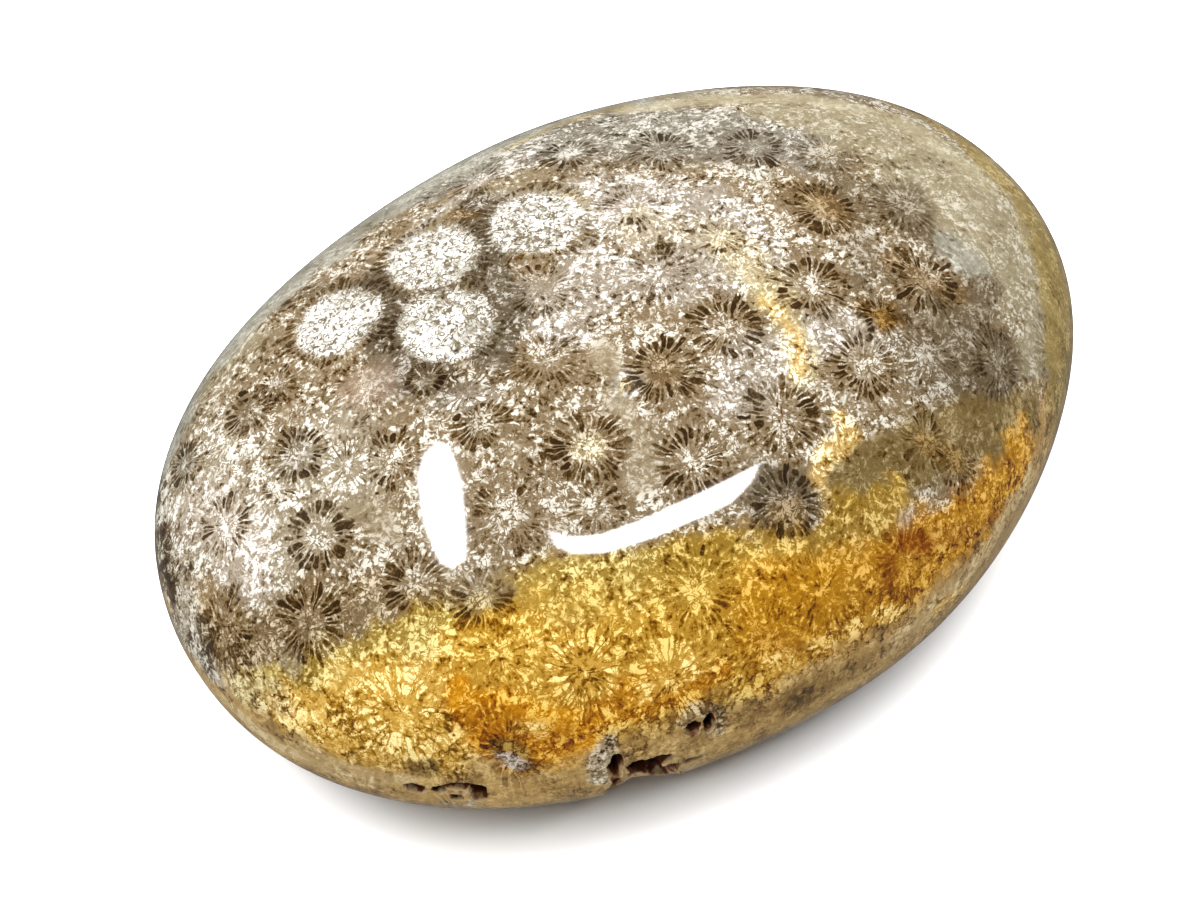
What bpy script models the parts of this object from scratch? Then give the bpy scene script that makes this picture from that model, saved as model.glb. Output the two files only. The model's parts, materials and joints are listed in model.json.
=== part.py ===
"""A polished fossil coral head: one agatised stone, ground to an oval palm stone with a domed top,
rounded sides and a flat resting face. The long front side has a broken notch and small open pits.

Frame: +X along the length, +Z up, origin at the middle of the bounding box, on the resting plane.
"""

import math

import bmesh
import bpy
from mathutils import Vector, noise

MM = 0.001

# Driving dimensions of the ground stone.
LENGTH = 72.0 * MM
WIDTH = 50.7 * MM
THICKNESS = 27.0 * MM
GIRDLE_HEIGHT = 11.5 * MM  # where the plan is widest
UNDERSIDE_DEPTH = 12.9 * MM  # girdle to the keel of the rounded underside, before the foot is ground flat

# Roundness exponents: 2 is an ellipse, more is fuller at the shoulders.
PLAN_FULLNESS = 2.12
DOME_FULLNESS = 2.35
UNDERSIDE_FULLNESS = 2.5

# A hand-ground plan is a little uneven: a slight bow along its length, and low lobes round the rim.
BOW = 0.8 * MM
LOBES = (  # lobes round the rim, share of the radius, where the first one peaks in degrees
    (4, 0.0075, 1.0),
    (5, 0.0053, 1.0),
)

# Mesh of the ground body.
SEGMENTS_ROUND = 80
RINGS_HIGH = 40

# Broken places: along the length, height above the resting plane, then the hollow's half sizes
# along the rim, upwards and into the stone.
NOTCH_HOLLOWS = (
    (-15.1 * MM, 6.9 * MM, (2.9 * MM, 4.3 * MM, 2.4 * MM)),
    (-16.9 * MM, 11.5 * MM, (0.7 * MM, 1.3 * MM, 1.0 * MM)),
    (-15.2 * MM, 12.0 * MM, (1.3 * MM, 0.8 * MM, 1.1 * MM)),
    (-13.6 * MM, 11.0 * MM, (1.1 * MM, 0.8 * MM, 1.1 * MM)),
)
PITS = (
    (-12.1 * MM, 13.9 * MM, (0.50 * MM, 0.75 * MM, 1.3 * MM)),
    (-11.2 * MM, 13.8 * MM, (0.36 * MM, 1.05 * MM, 1.3 * MM)),
    (-12.1 * MM, 9.7 * MM, (0.60 * MM, 0.40 * MM, 0.6 * MM)),
    (-28.7 * MM, 10.9 * MM, (0.60 * MM, 0.50 * MM, 0.9 * MM)),
    (-27.6 * MM, 10.9 * MM, (0.43 * MM, 0.35 * MM, 0.7 * MM)),
    (-26.1 * MM, 11.5 * MM, (1.30 * MM, 0.35 * MM, 0.7 * MM)),
    (-25.5 * MM, 10.5 * MM, (0.50 * MM, 0.80 * MM, 1.0 * MM)),
    (-26.6 * MM, 9.9 * MM, (0.38 * MM, 0.42 * MM, 0.7 * MM)),
)
NOTCH_ROUGHNESS = 0.30  # share of a hollow's radius
PIT_ROUGHNESS = 0.20
NOTCH_GRAIN = 1.6 * MM
PIT_GRAIN = 0.6 * MM
NOTCH_SUBDIVISIONS = 3
PIT_SUBDIVISIONS = 2

CORAL_COLOUR = (0.42, 0.33, 0.22, 1.0)
POLISHED_ROUGHNESS = 0.12


def power(value, exponent):
    """value to a power, keeping its sign."""
    return math.copysign(abs(value) ** exponent, value)


def plan_point(angle):
    """The girdle's point at this angle round the stone, before the plan is fitted to its length and width."""
    across = abs(math.cos(angle) / (LENGTH / 2)) ** PLAN_FULLNESS
    along = abs(math.sin(angle) / (WIDTH / 2)) ** PLAN_FULLNESS
    radius = (across + along) ** (-1 / PLAN_FULLNESS)
    radius *= 1 + sum(share * math.cos(count * (angle - math.radians(peak))) for count, share, peak in LOBES)
    x = radius * math.cos(angle)
    return Vector((x, radius * math.sin(angle) + BOW * (2 * x / LENGTH) ** 2))


def fitted_plan(steps=720):
    """A function like plan_point whose points span exactly LENGTH by WIDTH about the origin."""
    points = [plan_point(2 * math.pi * step / steps) for step in range(steps)]
    low = Vector(min(p[i] for p in points) for i in range(2))
    high = Vector(max(p[i] for p in points) for i in range(2))
    middle = (low + high) / 2
    size = high - low

    def fitted(angle):
        point = plan_point(angle) - middle
        return Vector((point.x * LENGTH / size.x, point.y * WIDTH / size.y))

    return fitted


def ground_surface(girdle_point, latitude):
    """The ground stone's point above or below a girdle point. Latitude is 0 at the girdle."""
    if latitude > 0:
        fullness, depth = DOME_FULLNESS, THICKNESS - GIRDLE_HEIGHT
    else:
        fullness, depth = UNDERSIDE_FULLNESS, UNDERSIDE_DEPTH
    spread = power(math.cos(latitude), 2 / fullness)
    height = GIRDLE_HEIGHT + depth * power(math.sin(latitude), 2 / fullness)
    return Vector((girdle_point.x * spread, girdle_point.y * spread, height))


def front_point(plan, x, height):
    """The point and outward normal of the front side at this x and height."""
    below = height < GIRDLE_HEIGHT
    depth = UNDERSIDE_DEPTH if below else THICKNESS - GIRDLE_HEIGHT
    fullness = UNDERSIDE_FULLNESS if below else DOME_FULLNESS
    rise = power((height - GIRDLE_HEIGHT) / depth, fullness / 2)
    latitude = math.asin(rise)

    def at(angle, latitude):
        return ground_surface(plan(angle), latitude)

    low, high = -math.pi, 0.0  # the front side runs from -X round by -Y to +X
    for _ in range(40):
        angle = (low + high) / 2
        if at(angle, latitude).x < x:
            low = angle
        else:
            high = angle
    step = 0.001
    point = at(angle, latitude)
    round_rim = at(angle + step, latitude) - at(angle - step, latitude)
    upwards = at(angle, latitude + step) - at(angle, latitude - step)
    return point, round_rim.cross(upwards).normalized()


def make_ground_body(name, plan):
    """A sphere whose rings are moved onto the ground surface, with the foot cut flat at the resting plane."""
    body = bmesh.new()
    bmesh.ops.create_uvsphere(body, u_segments=SEGMENTS_ROUND, v_segments=RINGS_HIGH, radius=1.0)
    for vert in body.verts:
        angle = math.atan2(vert.co.y, vert.co.x)
        latitude = math.asin(max(-1.0, min(1.0, vert.co.z)))
        vert.co = ground_surface(plan(angle), latitude)
    everything = body.verts[:] + body.edges[:] + body.faces[:]
    cut = bmesh.ops.bisect_plane(
        body, geom=everything, plane_co=(0, 0, 0), plane_no=(0, 0, -1), clear_outer=True
    )
    rim = [edge for edge in cut["geom_cut"] if isinstance(edge, bmesh.types.BMEdge)]
    bmesh.ops.contextual_create(body, geom=rim)
    bmesh.ops.recalc_face_normals(body, faces=body.faces)
    mesh = bpy.data.meshes.new(name)
    body.to_mesh(mesh)
    body.free()
    return bpy.data.objects.new(name, mesh)


def make_hollow_cutter(name, plan, place, subdivisions, roughness, grain):
    """A lumpy egg set on the front side, its long axes along the rim, upwards and inwards."""
    x, height, (half_along, half_up, half_in) = place
    point, outward = front_point(plan, x, height)
    along = Vector((0, 0, 1)).cross(outward).normalized()
    upwards = outward.cross(along)
    egg = bmesh.new()
    bmesh.ops.create_icosphere(egg, subdivisions=subdivisions, radius=1.0)
    for vert in egg.verts:
        local = vert.co.copy()
        offset = along * (local.x * half_along) + upwards * (local.y * half_up) + outward * (local.z * half_in)
        lump = noise.noise((point + offset) / grain)
        vert.co = point + offset * (1 + roughness * lump)
    mesh = bpy.data.meshes.new(name)
    egg.to_mesh(mesh)
    egg.free()
    cutter = bpy.data.objects.new(name, mesh)
    cutter.hide_render = True
    cutter.display_type = "WIRE"
    return cutter


def polished_coral_material():
    """Agatised coral: a dense quartz stone with a wet-looking polish."""
    material = bpy.data.materials.new("polished agatised coral")
    material.use_nodes = True
    shader = material.node_tree.nodes["Principled BSDF"]
    shader.inputs["Base Color"].default_value = CORAL_COLOUR
    shader.inputs["Roughness"].default_value = POLISHED_ROUGHNESS
    shader.inputs["Metallic"].default_value = 0.0
    return material


def build():
    for leftover in list(bpy.data.objects):
        bpy.data.objects.remove(leftover)
    coral = bpy.data.collections.new("fossil coral head")
    cutters = bpy.data.collections.new("hollow cutters")
    bpy.context.scene.collection.children.link(coral)
    bpy.context.scene.collection.children.link(cutters)

    plan = fitted_plan()
    stone = make_ground_body("coral_head", plan)
    coral.objects.link(stone)
    stone.data.materials.append(polished_coral_material())

    hollows = [
        (f"notch_hollow_{i}", place, NOTCH_SUBDIVISIONS, NOTCH_ROUGHNESS, NOTCH_GRAIN)
        for i, place in enumerate(NOTCH_HOLLOWS, 1)
    ]
    hollows += [(f"pit_{i}", place, PIT_SUBDIVISIONS, PIT_ROUGHNESS, PIT_GRAIN) for i, place in enumerate(PITS, 1)]
    for name, *form in hollows:
        cutter = make_hollow_cutter(name, plan, *form)
        cutters.objects.link(cutter)
        cut = stone.modifiers.new(name, "BOOLEAN")
        cut.operation = "DIFFERENCE"
        cut.solver = "EXACT"
        cut.object = cutter

    stone.data.shade_smooth()
    stone.modifiers.new("even_shading", "WEIGHTED_NORMAL")


build()
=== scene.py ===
"""A palm stone cut and polished from an agatised fossil coral head, lying on a pale floor."""

import json
import math

import bmesh
import bpy
import numpy as np
from mathutils import Matrix, Vector, noise
from mathutils.bvhtree import BVHTree

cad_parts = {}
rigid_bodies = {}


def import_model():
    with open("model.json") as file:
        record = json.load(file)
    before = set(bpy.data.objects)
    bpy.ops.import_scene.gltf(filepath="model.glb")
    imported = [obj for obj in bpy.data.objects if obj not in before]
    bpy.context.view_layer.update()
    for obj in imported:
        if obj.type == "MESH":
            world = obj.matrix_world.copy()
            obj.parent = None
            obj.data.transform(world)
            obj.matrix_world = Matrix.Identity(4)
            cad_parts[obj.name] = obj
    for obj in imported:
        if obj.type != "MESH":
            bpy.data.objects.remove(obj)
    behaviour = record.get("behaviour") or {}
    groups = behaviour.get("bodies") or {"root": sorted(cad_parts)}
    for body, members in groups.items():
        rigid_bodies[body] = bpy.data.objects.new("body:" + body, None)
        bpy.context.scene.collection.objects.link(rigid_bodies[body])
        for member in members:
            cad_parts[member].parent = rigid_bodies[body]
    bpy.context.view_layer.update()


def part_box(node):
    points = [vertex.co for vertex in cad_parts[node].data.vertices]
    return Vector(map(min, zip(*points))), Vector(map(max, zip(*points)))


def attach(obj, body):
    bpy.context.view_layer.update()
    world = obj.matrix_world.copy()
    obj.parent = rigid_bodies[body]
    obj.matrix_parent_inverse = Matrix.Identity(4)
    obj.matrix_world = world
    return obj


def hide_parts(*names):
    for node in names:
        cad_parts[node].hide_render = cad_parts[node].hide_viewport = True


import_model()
MM = 0.001

# Camera. It looks down on the stone's long front side from the left, as one looks at a stone on a
# table. The corallites and the stains are placed through it, so it is made first.
VIEW_AZIMUTH = math.radians(-34.8)
VIEW_ELEVATION = math.radians(54)
VIEW_DISTANCE = 170.1 * MM
VIEW_AIM = Vector((-2.7, 0.65, 10.1)) * MM
LENS_MM = 70
SENSOR_MM = 36
FRAME_WIDTH, FRAME_HEIGHT = 1200, 900  # pixels
FOCAL_PIXELS = FRAME_WIDTH * LENS_MM / SENSOR_MM
NEAREST = 10 * MM

view_back = Vector((
    math.sin(VIEW_AZIMUTH) * math.cos(VIEW_ELEVATION),
    -math.cos(VIEW_AZIMUTH) * math.cos(VIEW_ELEVATION),
    math.sin(VIEW_ELEVATION),
))
view_right = Vector((math.cos(VIEW_AZIMUTH), math.sin(VIEW_AZIMUTH), 0))
view_up = view_back.cross(view_right)
eye = VIEW_AIM + view_back * VIEW_DISTANCE

camera = bpy.data.objects.new("camera", bpy.data.cameras.new("camera"))
camera.data.lens = LENS_MM
camera.data.sensor_width = SENSOR_MM
camera.data.clip_start = NEAREST
view_turn = Matrix((view_right, view_up, view_back)).transposed().to_4x4()
camera.matrix_world = Matrix.Translation(eye) @ view_turn
bpy.context.scene.collection.objects.link(camera)
bpy.context.scene.camera = camera


def sight_line(pixel):
    """The direction in which the camera sees this pixel of the frame."""
    across = (pixel[0] - FRAME_WIDTH / 2) / FOCAL_PIXELS
    down = (pixel[1] - FRAME_HEIGHT / 2) / FOCAL_PIXELS
    return (view_right * across - view_up * down - view_back).normalized()


# The stone. One piece of coral turned to agate, ground on a wheel to an oval pebble with a domed
# top, full sides and a flat foot, then polished. Its plan is a little uneven, as hand work is.
low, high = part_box("coral_head")
LENGTH = high.x - low.x
WIDTH = high.y - low.y
THICKNESS = high.z - low.z
GIRDLE_HEIGHT = 11.5 * MM
UNDERSIDE_DEPTH = 12.9 * MM  # more than the girdle's height, so that grinding leaves a flat foot
PLAN_FULLNESS = 2.12  # 2 is an ellipse, and more is squarer
DOME_FULLNESS = 2.35
UNDERSIDE_FULLNESS = 2.5
BOW = 0.8 * MM  # both ends lie this much further back than the middle
LOBES = ((4, 0.0075, 1.0), (5, 0.0053, 1.0))  # count round the rim, share of the radius, peak in degrees
PLAN_STEPS = 720
GRID_STEPS = (4, 4, 3)  # cuts that leave each side of the starting cube with 100 rows
FOOT_MERGE = 0.001 * MM


def power(value, exponent):
    """A power of the size of each value, with its sign kept."""
    return np.copysign(np.abs(value) ** exponent, value)


def raw_plan(angle):
    """The girdle before it is fitted to the stone's length and width."""
    across = np.abs(np.cos(angle) / (LENGTH / 2)) ** PLAN_FULLNESS
    along = np.abs(np.sin(angle) / (WIDTH / 2)) ** PLAN_FULLNESS
    radius = (across + along) ** (-1 / PLAN_FULLNESS)
    swell = sum(share * np.cos(count * (angle - math.radians(peak))) for count, share, peak in LOBES)
    radius = radius * (1 + swell)
    x = radius * np.cos(angle)
    return np.stack([x, radius * np.sin(angle) + BOW * (2 * x / LENGTH) ** 2], axis=-1)


whole_round = raw_plan(np.linspace(0, 2 * math.pi, PLAN_STEPS, endpoint=False))
plan_low, plan_high = whole_round.min(axis=0), whole_round.max(axis=0)
plan_scale = np.array((LENGTH, WIDTH)) / (plan_high - plan_low)


def ground_surface(angle, latitude):
    """Points of the ground stone. Latitude is 0 at the girdle and a right angle at the top."""
    plan = (raw_plan(angle) - (plan_low + plan_high) / 2) * plan_scale
    over = latitude > 0
    exponent = np.where(over, 2 / DOME_FULLNESS, 2 / UNDERSIDE_FULLNESS)
    depth = np.where(over, THICKNESS - GIRDLE_HEIGHT, UNDERSIDE_DEPTH)
    spread = np.abs(np.cos(latitude)) ** exponent
    height = GIRDLE_HEIGHT + depth * power(np.sin(latitude), exponent)
    return np.stack([plan[..., 0] * spread, plan[..., 1] * spread, height], axis=-1)


def positions(mesh):
    """The places of the mesh's vertices, a row for each."""
    flat = np.empty(len(mesh.vertices) * 3)
    mesh.vertices.foreach_get("co", flat)
    return flat.reshape(-1, 3)


ball = bmesh.new()
bmesh.ops.create_cube(ball, size=2)
for cuts in GRID_STEPS:
    bmesh.ops.subdivide_edges(ball, edges=ball.edges, cuts=cuts, use_grid_fill=True)
stone_mesh = bpy.data.meshes.new("coral stone")
ball.to_mesh(stone_mesh)
ball.free()
evened = np.tan(positions(stone_mesh) * math.pi / 4)  # makes the grid as fine at its corners as inside
unit = evened / np.linalg.norm(evened, axis=1, keepdims=True)
rounded = ground_surface(np.arctan2(unit[:, 1], unit[:, 0]), np.arcsin(np.clip(unit[:, 2], -1, 1)))
stone_mesh.vertices.foreach_set("co", rounded.ravel())
footed = bmesh.new()
footed.from_mesh(stone_mesh)
whole = footed.verts[:] + footed.edges[:] + footed.faces[:]
bmesh.ops.bisect_plane(footed, geom=whole, dist=FOOT_MERGE, plane_co=(0, 0, 0), plane_no=(0, 0, 1))
for vert in footed.verts:
    vert.co.z = max(vert.co.z, 0)  # the foot is ground flat
footed.to_mesh(stone_mesh)
footed.free()
stone = bpy.data.objects.new("coral_stone", stone_mesh)
bpy.context.scene.collection.objects.link(stone)
ground_faces = [face.vertices[:] for face in stone_mesh.polygons]
ground_tree = BVHTree.FromPolygons(positions(stone_mesh).tolist(), ground_faces)


def seen_at(pixel):
    """The point of the ground stone that shows at this pixel."""
    return ground_tree.ray_cast(eye, sight_line(pixel))[0]


# The notch and the pits. They are the coral's own hollows, opened by the grinding: a bite in the
# lower front edge with three cavities above it, and small pits to both sides. Their walls are rough
# with fine quartz, so they are cut by lumpy eggs and get a material of their own.
NOTCH_HOLLOWS = (  # along the stone, height, then half sizes along the rim, upwards and inwards, in mm
    (-15.1, 7.2, (2.9, 4.3, 2.9)),
    (-17.3, 11.7, (0.6, 1.8, 2.4)),
    (-15.9, 11.3, (0.9, 0.9, 2.4)),
    (-14.4, 11.2, (1.1, 0.8, 2.4)),
)
PITS = (  # in the same order: a pit with two holes, one beside the notch, five near the left end
    (-12.1, 13.9, (0.65, 0.85, 2.0)),
    (-11.0, 13.8, (0.50, 1.10, 2.0)),
    (-12.1, 9.7, (0.80, 0.50, 1.2)),
    (-28.7, 11.0, (0.75, 0.80, 1.6)),
    (-27.5, 11.1, (0.55, 0.65, 1.5)),
    (-26.2, 11.7, (1.40, 0.60, 1.6)),
    (-25.4, 10.8, (0.65, 1.20, 1.8)),
    (-26.6, 10.1, (0.50, 0.60, 1.3)),
)
FRONT_MM = -1000  # well in front of the stone
NOTCH_EGG = (5, 1.6, 0.30)  # subdivisions, size of the lumps in mm, their share of the egg's size
PIT_EGG = (4, 0.6, 0.20)
CRUST_GRAIN_MM = 0.35  # size of the quartz grains that roughen the walls
CRUST_HEIGHT_MM = 0.18  # how far a grain may stand out
WALL_LEAST = 0.02 * MM  # a face deeper than this below the ground surface is a hollow's wall


def egg_cutter(place, subdivisions, lump_mm, lumpiness):
    """A lumpy egg on the front side, with its long axes along the rim, upwards and inwards."""
    along_stone, height, (half_along, half_up, half_in) = place
    before = Vector((along_stone, FRONT_MM, height)) * MM
    point, outward, _, _ = ground_tree.ray_cast(before, Vector((0, 1, 0)))
    along = Vector((0, 0, 1)).cross(outward).normalized()
    upwards = outward.cross(along)
    egg = bmesh.new()
    bmesh.ops.create_icosphere(egg, subdivisions=subdivisions, radius=1)
    for vert in egg.verts:
        x, y, z = vert.co
        offset = along * (x * half_along) + upwards * (y * half_up) + outward * (z * half_in)
        at = point / MM + offset
        swell = 1 + lumpiness * noise.noise(at / lump_mm)
        grain = CRUST_HEIGHT_MM * noise.noise(at / CRUST_GRAIN_MM)
        vert.co = (point / MM + offset * swell + offset.normalized() * grain) * MM
    mesh = bpy.data.meshes.new("egg")
    egg.to_mesh(mesh)
    egg.free()
    return mesh


polished = bpy.data.materials.new("agatised coral, polished")
crusted_with_painted_shade = bpy.data.materials.new("quartz crusted hollow")
cutters = bpy.data.collections.new("cutters")
bpy.context.scene.collection.children.link(cutters)
eggs = [egg_cutter(place, *NOTCH_EGG) for place in NOTCH_HOLLOWS]
eggs += [egg_cutter(place, *PIT_EGG) for place in PITS]
for mesh in eggs:
    cutters.objects.link(bpy.data.objects.new("cutter", mesh))
cut = stone.modifiers.new("hollows", "BOOLEAN")
cut.operation = "DIFFERENCE"
cut.solver = "EXACT"
cut.operand_type = "COLLECTION"
cut.collection = cutters
hollowed = bpy.data.meshes.new_from_object(stone.evaluated_get(bpy.context.evaluated_depsgraph_get()))
stone.modifiers.clear()
stone.data = hollowed
for cutter in list(cutters.objects):
    bpy.data.objects.remove(cutter)
bpy.data.collections.remove(cutters)
hollowed.shade_smooth()
hollowed.materials.append(polished)
hollowed.materials.append(crusted_with_painted_shade)
for face in hollowed.polygons:
    face.material_index = int(ground_tree.find_nearest(face.center)[3] > WALL_LEAST)


# The corallites. Each was one polyp's tube, about 7 mm across, with two dozen septa round it like
# the spokes of a wheel. The tubes fan out a little from below, so the dome cuts them across and
# shows flowers, and the steep sides cut them lengthwise and show streaks.
FAN_DEPTH = 80 * MM  # how far below the foot the tubes would meet
SEPTA_PER_MM = 9.5  # septa round a flower, for each millimetre of its radius
DARK, GREY, FAINT, PALE, MILK = "dark", "grey", "faint", "pale", "milk"
PETAL_TONES = {DARK: 1.0, GREY: 0.6, FAINT: 0.3, PALE: -1.3, MILK: 0.9}  # how far the petals darken
SEEN_CORALLITES = (  # where the middle shows in the camera's frame, flower's radius in mm, its petals
    ((225, 526), 2.5, DARK),
    ((588, 447), 3.0, DARK),
    ((812, 287), 2.9, DARK),
    ((865, 365), 2.9, DARK),
    ((783, 416), 3.1, DARK),
    ((924, 281), 3.0, DARK),
    ((824, 208), 2.7, DARK),
    ((661, 369), 2.9, DARK),
    ((692, 462), 2.7, DARK),
    ((726, 326), 2.8, DARK),
    ((546, 358), 2.8, GREY),
    ((510, 515), 2.8, GREY),
    ((597, 508), 2.0, GREY),
    ((318, 535), 2.7, DARK),
    ((297, 455), 2.6, DARK),
    ((347, 466), 2.3, PALE),
    ((392, 460), 2.5, DARK),
    ((480, 424), 2.3, DARK),
    ((466, 392), 2.0, PALE),
    ((371, 383), 2.9, FAINT),
    ((426, 380), 1.7, DARK),
    ((224, 628), 3.2, GREY),
    ((310, 624), 2.8, DARK),
    ((416, 585), 2.5, DARK),
    ((480, 600), 2.3, DARK),
    ((784, 503), 2.8, DARK),
    ((905, 206), 3.0, GREY),
    ((826, 154), 2.6, GREY),
    ((753, 148), 2.6, DARK),
    ((660, 150), 2.7, DARK),
    ((655, 190), 1.8, GREY),
    ((568, 154), 2.4, DARK),
    ((632, 207), 2.6, GREY),
    ((721, 238), 1.8, GREY),
    ((536, 222), 3.3, MILK),
    ((432, 257), 3.3, MILK),
    ((337, 321), 3.2, MILK),
    ((446, 324), 3.3, MILK),
    ((542, 290), 2.7, GREY),
    ((658, 272), 2.6, GREY),
    ((249, 411), 2.3, DARK),
    ((277, 384), 1.9, DARK),
    ((186, 464), 2.2, DARK),
    ((161, 550), 1.9, DARK),
    ((167, 596), 1.9, DARK),
    ((278, 490), 1.3, DARK),
    ((545, 475), 1.6, GREY),
    ((925, 441), 2.3, DARK),
    ((958, 462), 2.0, DARK),
    ((860, 475), 2.9, FAINT),
    ((880, 316), 1.7, DARK),
    ((1018, 236), 2.6, FAINT),
    ((931, 356), 2.4, GREY),
    ((998, 364), 3.0, GREY),
    ((402, 714), 3.2, PALE),
    ((585, 672), 3.0, PALE),
    ((698, 590), 2.9, GREY),
    ((510, 752), 2.4, DARK),
    ((500, 655), 2.8, FAINT),
    ((820, 590), 2.9, FAINT),
    ((760, 640), 2.9, FAINT),
    ((670, 680), 2.8, PALE),
    ((905, 560), 2.6, GREY),
    ((480, 180), 2.6, GREY),
)
MILK_SEPTA = 0.45  # a milky corallite has this share more septa
FILL_SPACING = 5.6 * MM  # least distance from a filled-in corallite's middle to any other
FILL_REACH = 0.62 * LENGTH
FILL_TRIES = 6000  # enough for no more to fit
FILL_RADII_MM = (2.3, 3.0)
FILL_TONES = (0.9, 0.6, 0.3, 0.3, -0.5)
rng = np.random.default_rng(7)


def tube_plan(points):
    """Where the tube through each point would come up at the height of the stone's top."""
    points = np.asarray(points)
    spread = (FAN_DEPTH + THICKNESS) / (FAN_DEPTH + points[..., 2])
    return points[..., :2] * spread[..., None]


middles, radii, tones, milks = [], [], [], []
for pixel, radius_mm, petals in SEEN_CORALLITES:
    middles.append(tube_plan(seen_at(pixel)))
    radii.append(radius_mm)
    tones.append(PETAL_TONES[petals])
    milks.append(float(petals == MILK))
for _ in range(FILL_TRIES):
    place = rng.uniform(-FILL_REACH, FILL_REACH, 2)
    if np.linalg.norm(np.array(middles) - place, axis=1).min() > FILL_SPACING:
        middles.append(place)
        radii.append(rng.uniform(*FILL_RADII_MM))
        tones.append(rng.choice(FILL_TONES))
        milks.append(0.0)
middles = np.array(middles) / MM
radii = np.array(radii)
septa = np.round(radii * SEPTA_PER_MM * (1 + MILK_SEPTA * np.array(milks)))

# each face keeps what its material needs to know of its nearest corallite and of the next one
centres = np.empty(len(hollowed.polygons) * 3)
hollowed.polygons.foreach_get("center", centres)
face_plan = tube_plan(centres.reshape(-1, 3)) / MM
apart = np.linalg.norm(face_plan[:, None, :] - middles[None, :, :], axis=2) - radii[None, :]
nearest = np.argsort(apart, axis=1)[:, :2]
for order, name in enumerate(("near", "next")):
    chosen = nearest[:, order]
    for part, values in (
        ("_place", (middles[chosen, 0], middles[chosen, 1], radii[chosen])),
        ("_kind", (np.array(tones)[chosen], np.array(milks)[chosen], septa[chosen])),
        ("_seed", (chosen, chosen, chosen)),
    ):
        layer = hollowed.attributes.new(name + part, "FLOAT_VECTOR", "FACE")
        layer.data.foreach_set("vector", np.column_stack(values).astype(float).ravel())


# The stains. Water carried iron into parts of the coral and coloured the agate from straw to rust,
# and left others clear and grey. Each stain has three colours: the dark gaps between the septa,
# the agate between the corallites, and the pale septa and grains. The number is how strongly the
# coral still shows in it: the clearer and the older the agate, the less.
STAINS = {
    "bone": ("#4A3615", "#82725A", "#C4C0B4", 1.0),
    "cream": ("#5A4B34", "#988D78", "#D2D0C8", 1.0),
    "chalk": ("#5C503E", "#A0978A", "#D4D2CE", 1.0),
    "honey": ("#5A4220", "#B8AA80", "#EEE6C8", 0.95),
    "taupe": ("#352814", "#5E5342", "#A49E94", 0.9),
    "clear": ("#64543C", "#857860", "#A49A85", 0.5),
    "ash": ("#483E2E", "#807A6E", "#B8B4AA", 0.95),
    "mist": ("#66604F", "#8B8779", "#A9A699", 0.55),
    "khaki": ("#665A42", "#897F66", "#B0AA98", 0.65),
    "buff": ("#7C6E50", "#948A70", "#B2AB95", 0.5),
    "drab": ("#665226", "#85723F", "#A99560", 0.55),
    "slate": ("#382B16", "#5C503C", "#8A7F6E", 0.8),
    "loam": ("#422D08", "#776446", "#BBAD92", 1.0),
    "moss": ("#4C3812", "#6C5A33", "#938056", 0.7),
    "olive": ("#5E4204", "#947428", "#CCB062", 0.85),
    "straw": ("#664606", "#A0863A", "#D6C67C", 0.95),
    "maize": ("#9A6E14", "#D8B058", "#FBEAA4", 1.0),
    "gold": ("#865804", "#BE9638", "#EED078", 1.0),
    "lemon": ("#966A14", "#DCB04E", "#FFEEA8", 1.0),
    "amber": ("#8A4A00", "#C68606", "#F0C458", 0.95),
    "ochre": ("#7A4602", "#AE7C12", "#DEAE4C", 0.9),
    "rust": ("#591D00", "#8E5A0C", "#BC9450", 0.7),
    "ember": ("#4A1400", "#7A3C00", "#A86A10", 0.6),
    "sand": ("#5E4420", "#A4844C", "#C6A86C", 0.45),
    "smoke": ("#241400", "#5E4214", "#947640", 0.8),
    "dusk": ("#3A280E", "#6E5226", "#9A7C42", 0.45),
    "pearl": ("#806438", "#B49A6A", "#D6C79E", 0.5),
    "umber": ("#2A1200", "#57482D", "#A8A18E", 0.9),
    "druse": ("#7A6852", "#B8AEA2", "#E2DED8", 1.0),
    "quartz": ("#5A4428", "#AE9E80", "#DCD2BE", 0.9),
    "rose": ("#6A5242", "#8E7C6A", "#B0A294", 0.4),
}

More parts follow.
